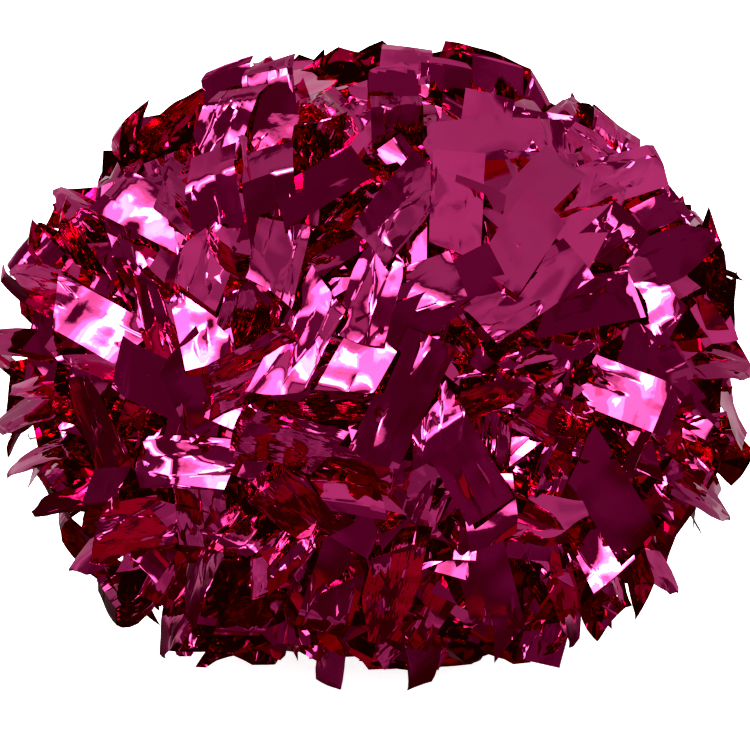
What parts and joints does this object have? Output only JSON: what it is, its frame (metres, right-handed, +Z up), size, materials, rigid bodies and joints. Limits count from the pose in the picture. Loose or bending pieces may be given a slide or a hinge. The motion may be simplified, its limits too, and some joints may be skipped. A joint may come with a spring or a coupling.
{
  "type": "cheer pom pom",
  "caption": "Fluffy oval cheerleading pom pom of wide mirror-like rose film streamers, bound in two bundles round a dowel handle hidden inside.",
  "frame": {"origin": "on the resting surface, under the middle of the grip", "axes": "+X along the handle, +Z up, -Y towards the open side of the hand gap"},
  "size_m": [0.28, 0.2382, 0.2296],
  "materials": {
    "film_streamers": "mirror-like metallised rose film, creased and crinkled",
    "film_band": "the same film, wound in tight layers",
    "handle_plastic": "fine moulded texture",
    "plug_plastic": "smooth moulded",
    "strapping_tape": "fibre-reinforced tape",
    "tie_nylon": "moulded nylon with a toothed strap"
  },
  "bodies": {
    "handle": {"handle_tube": "handle_plastic", "left_end_plug": "plug_plastic", "right_end_plug": "plug_plastic", "left_film_band": "film_band", "right_film_band": "film_band", "left_tape_wrap": "strapping_tape", "right_tape_wrap": "strapping_tape", "left_cable_tie": "tie_nylon", "right_cable_tie": "tie_nylon"},
    "left_inner_top_tuft": {"left_inner_top": "film_streamers"},
    "left_inner_upper_front_tuft": {"left_inner_upper_front": "film_streamers"},
    "left_inner_lower_front_tuft": {"left_inner_lower_front": "film_streamers"},
    "left_inner_bottom_tuft": {"left_inner_bottom": "film_streamers"},
    "left_inner_lower_back_tuft": {"left_inner_lower_back": "film_streamers"},
    "left_inner_upper_back_tuft": {"left_inner_upper_back": "film_streamers"},
    "left_outer_top_tuft": {"left_outer_top": "film_streamers"},
    "left_outer_upper_front_tuft": {"left_outer_upper_front": "film_streamers"},
    "left_outer_lower_front_tuft": {"left_outer_lower_front": "film_streamers"},
    "left_outer_bottom_tuft": {"left_outer_bottom": "film_streamers"},
    "left_outer_lower_back_tuft": {"left_outer_lower_back": "film_streamers"},
    "left_outer_upper_back_tuft": {"left_outer_upper_back": "film_streamers"},
    "left_end_tuft_body": {"left_end_tuft": "film_streamers"},
    "right_inner_top_tuft": {"right_inner_top": "film_streamers"},
    "right_inner_upper_front_tuft": {"right_inner_upper_front": "film_streamers"},
    "right_inner_lower_front_tuft": {"right_inner_lower_front": "film_streamers"},
    "right_inner_bottom_tuft": {"right_inner_bottom": "film_streamers"},
    "right_inner_lower_back_tuft": {"right_inner_lower_back": "film_streamers"},
    "right_inner_upper_back_tuft": {"right_inner_upper_back": "film_streamers"},
    "right_outer_top_tuft": {"right_outer_top": "film_streamers"},
    "right_outer_upper_front_tuft": {"right_outer_upper_front": "film_streamers"},
    "right_outer_lower_front_tuft": {"right_outer_lower_front": "film_streamers"},
    "right_outer_bottom_tuft": {"right_outer_bottom": "film_streamers"},
    "right_outer_lower_back_tuft": {"right_outer_lower_back": "film_streamers"},
    "right_outer_upper_back_tuft": {"right_outer_upper_back": "film_streamers"},
    "right_end_tuft_body": {"right_end_tuft": "film_streamers"}
  },
  "joints": [
    {"name": "left_inner_top_flex", "type": "hinge", "parent": "handle", "child": "left_inner_top_tuft", "pos_m": [-0.0412, 0, 0.12725], "axis": [0, -1, 0], "range_deg": [-4, 20], "stiffness_Nm_per_rad": 0.4},
    {"name": "left_inner_upper_front_flex", "type": "hinge", "parent": "handle", "child": "left_inner_upper_front_tuft", "pos_m": [-0.0412, -0.01494, 0.11862], "axis": [0, -0.5, -0.866], "range_deg": [-4, 20], "stiffness_Nm_per_rad": 0.4},
    {"name": "left_inner_lower_front_flex", "type": "hinge", "parent": "handle", "child": "left_inner_lower_front_tuft", "pos_m": [-0.0412, -0.01494, 0.10138], "axis": [0, 0.5, -0.866], "range_deg": [-4, 20], "stiffness_Nm_per_rad": 0.4},
    {"name": "left_inner_bottom_flex", "type": "hinge", "parent": "handle", "child": "left_inner_bottom_tuft", "pos_m": [-0.0412, 0, 0.09275], "axis": [0, 1, 0], "range_deg": [-4, 20], "stiffness_Nm_per_rad": 0.4},
    {"name": "left_inner_lower_back_flex", "type": "hinge", "parent": "handle", "child": "left_inner_lower_back_tuft", "pos_m": [-0.0412, 0.01494, 0.10138], "axis": [0, 0.5, 0.866], "range_deg": [-4, 20], "stiffness_Nm_per_rad": 0.4},
    {"name": "left_inner_upper_back_flex", "type": "hinge", "parent": "handle", "child": "left_inner_upper_back_tuft", "pos_m": [-0.0412, 0.01494, 0.11862], "axis": [0, -0.5, 0.866], "range_deg": [-4, 20], "stiffness_Nm_per_rad": 0.4},
    {"name": "left_outer_top_flex", "type": "hinge", "parent": "handle", "child": "left_outer_top_tuft", "pos_m": [-0.0638, 0, 0.12725], "axis": [0, -1, 0], "range_deg": [-2, 10], "stiffness_Nm_per_rad": 0.4},
    {"name": "left_outer_upper_front_flex", "type": "hinge", "parent": "handle", "child": "left_outer_upper_front_tuft", "pos_m": [-0.0638, -0.01494, 0.11862], "axis": [0, -0.5, -0.866], "range_deg": [-2, 10], "stiffness_Nm_per_rad": 0.4},
    {"name": "left_outer_lower_front_flex", "type": "hinge", "parent": "handle", "child": "left_outer_lower_front_tuft", "pos_m": [-0.0638, -0.01494, 0.10138], "axis": [0, 0.5, -0.866], "range_deg": [-2, 10], "stiffness_Nm_per_rad": 0.4},
    {"name": "left_outer_bottom_flex", "type": "hinge", "parent": "handle", "child": "left_outer_bottom_tuft", "pos_m": [-0.0638, 0, 0.09275], "axis": [0, 1, 0], "range_deg": [-2, 10], "stiffness_Nm_per_rad": 0.4},
    {"name": "left_outer_lower_back_flex", "type": "hinge", "parent": "handle", "child": "left_outer_lower_back_tuft", "pos_m": [-0.0638, 0.01494, 0.10138], "axis": [0, 0.5, 0.866], "range_deg": [-2, 10], "stiffness_Nm_per_rad": 0.4},
    {"name": "left_outer_upper_back_flex", "type": "hinge", "parent": "handle", "child": "left_outer_upper_back_tuft", "pos_m": [-0.0638, 0.01494, 0.11862], "axis": [0, -0.5, 0.866], "range_deg": [-2, 10], "stiffness_Nm_per_rad": 0.4},
    {"name": "left_end_tuft_rock", "type": "hinge", "parent": "handle", "child": "left_end_tuft_body", "pos_m": [-0.0704, 0, 0.11], "axis": [0, 1, 0], "range_deg": [-6, 6], "stiffness_Nm_per_rad": 0.4},
    {"name": "right_inner_top_flex", "type": "hinge", "parent": "handle", "child": "right_inner_top_tuft", "pos_m": [0.0412, 0, 0.12725], "axis": [0, 1, 0], "range_deg": [-4, 20], "stiffness_Nm_per_rad": 0.4},
    {"name": "right_inner_upper_front_flex", "type": "hinge", "parent": "handle", "child": "right_inner_upper_front_tuft", "pos_m": [0.0412, -0.01494, 0.11862], "axis": [0, 0.5, 0.866], "range_deg": [-4, 20], "stiffness_Nm_per_rad": 0.4},
    {"name": "right_inner_lower_front_flex", "type": "hinge", "parent": "handle", "child": "right_inner_lower_front_tuft", "pos_m": [0.0412, -0.01494, 0.10138], "axis": [0, -0.5, 0.866], "range_deg": [-4, 20], "stiffness_Nm_per_rad": 0.4},
    {"name": "right_inner_bottom_flex", "type": "hinge", "parent": "handle", "child": "right_inner_bottom_tuft", "pos_m": [0.0412, 0, 0.09275], "axis": [0, -1, 0], "range_deg": [-4, 20], "stiffness_Nm_per_rad": 0.4},
    {"name": "right_inner_lower_back_flex", "type": "hinge", "parent": "handle", "child": "right_inner_lower_back_tuft", "pos_m": [0.0412, 0.01494, 0.10138], "axis": [0, -0.5, -0.866], "range_deg": [-4, 20], "stiffness_Nm_per_rad": 0.4},
    {"name": "right_inner_upper_back_flex", "type": "hinge", "parent": "handle", "child": "right_inner_upper_back_tuft", "pos_m": [0.0412, 0.01494, 0.11862], "axis": [0, 0.5, -0.866], "range_deg": [-4, 20], "stiffness_Nm_per_rad": 0.4},
    {"name": "right_outer_top_flex", "type": "hinge", "parent": "handle", "child": "right_outer_top_tuft", "pos_m": [0.0638, 0, 0.12725], "axis": [0, 1, 0], "range_deg": [-2, 10], "stiffness_Nm_per_rad": 0.4},
    {"name": "right_outer_upper_front_flex", "type": "hinge", "parent": "handle", "child": "right_outer_upper_front_tuft", "pos_m": [0.0638, -0.01494, 0.11862], "axis": [0, 0.5, 0.866], "range_deg": [-2, 10], "stiffness_Nm_per_rad": 0.4},
    {"name": "right_outer_lower_front_flex", "type": "hinge", "parent": "handle", "child": "right_outer_lower_front_tuft", "pos_m": [0.0638, -0.01494, 0.10138], "axis": [0, -0.5, 0.866], "range_deg": [-2, 10], "stiffness_Nm_per_rad": 0.4},
    {"name": "right_outer_bottom_flex", "type": "hinge", "parent": "handle", "child": "right_outer_bottom_tuft", "pos_m": [0.0638, 0, 0.09275], "axis": [0, -1, 0], "range_deg": [-2, 10], "stiffness_Nm_per_rad": 0.4},
    {"name": "right_outer_lower_back_flex", "type": "hinge", "parent": "handle", "child": "right_outer_lower_back_tuft", "pos_m": [0.0638, 0.01494, 0.10138], "axis": [0, -0.5, -0.866], "range_deg": [-2, 10], "stiffness_Nm_per_rad": 0.4},
    {"name": "right_outer_upper_back_flex", "type": "hinge", "parent": "handle", "child": "right_outer_upper_back_tuft", "pos_m": [0.0638, 0.01494, 0.11862], "axis": [0, 0.5, -0.866], "range_deg": [-2, 10], "stiffness_Nm_per_rad": 0.4},
    {"name": "right_end_tuft_rock", "type": "hinge", "parent": "handle", "child": "right_end_tuft_body", "pos_m": [0.0704, 0, 0.11], "axis": [0, 1, 0], "range_deg": [-6, 6], "stiffness_Nm_per_rad": 0.4}
  ],
  "couplings": [
    {"joint": "left_outer_top_flex", "follows": "left_inner_top_flex", "ratio": 0.5},
    {"joint": "left_outer_upper_front_flex", "follows": "left_inner_upper_front_flex", "ratio": 0.5},
    {"joint": "left_outer_lower_front_flex", "follows": "left_inner_lower_front_flex", "ratio": 0.5},
    {"joint": "left_outer_bottom_flex", "follows": "left_inner_bottom_flex", "ratio": 0.5},
    {"joint": "left_outer_lower_back_flex", "follows": "left_inner_lower_back_flex", "ratio": 0.5},
    {"joint": "left_outer_upper_back_flex", "follows": "left_inner_upper_back_flex", "ratio": 0.5},
    {"joint": "right_outer_top_flex", "follows": "right_inner_top_flex", "ratio": 0.5},
    {"joint": "right_outer_upper_front_flex", "follows": "right_inner_upper_front_flex", "ratio": 0.5},
    {"joint": "right_outer_lower_front_flex", "follows": "right_inner_lower_front_flex", "ratio": 0.5},
    {"joint": "right_outer_bottom_flex", "follows": "right_inner_bottom_flex", "ratio": 0.5},
    {"joint": "right_outer_lower_back_flex", "follows": "right_inner_lower_back_flex", "ratio": 0.5},
    {"joint": "right_outer_upper_back_flex", "follows": "right_inner_upper_back_flex", "ratio": 0.5}
  ]
}
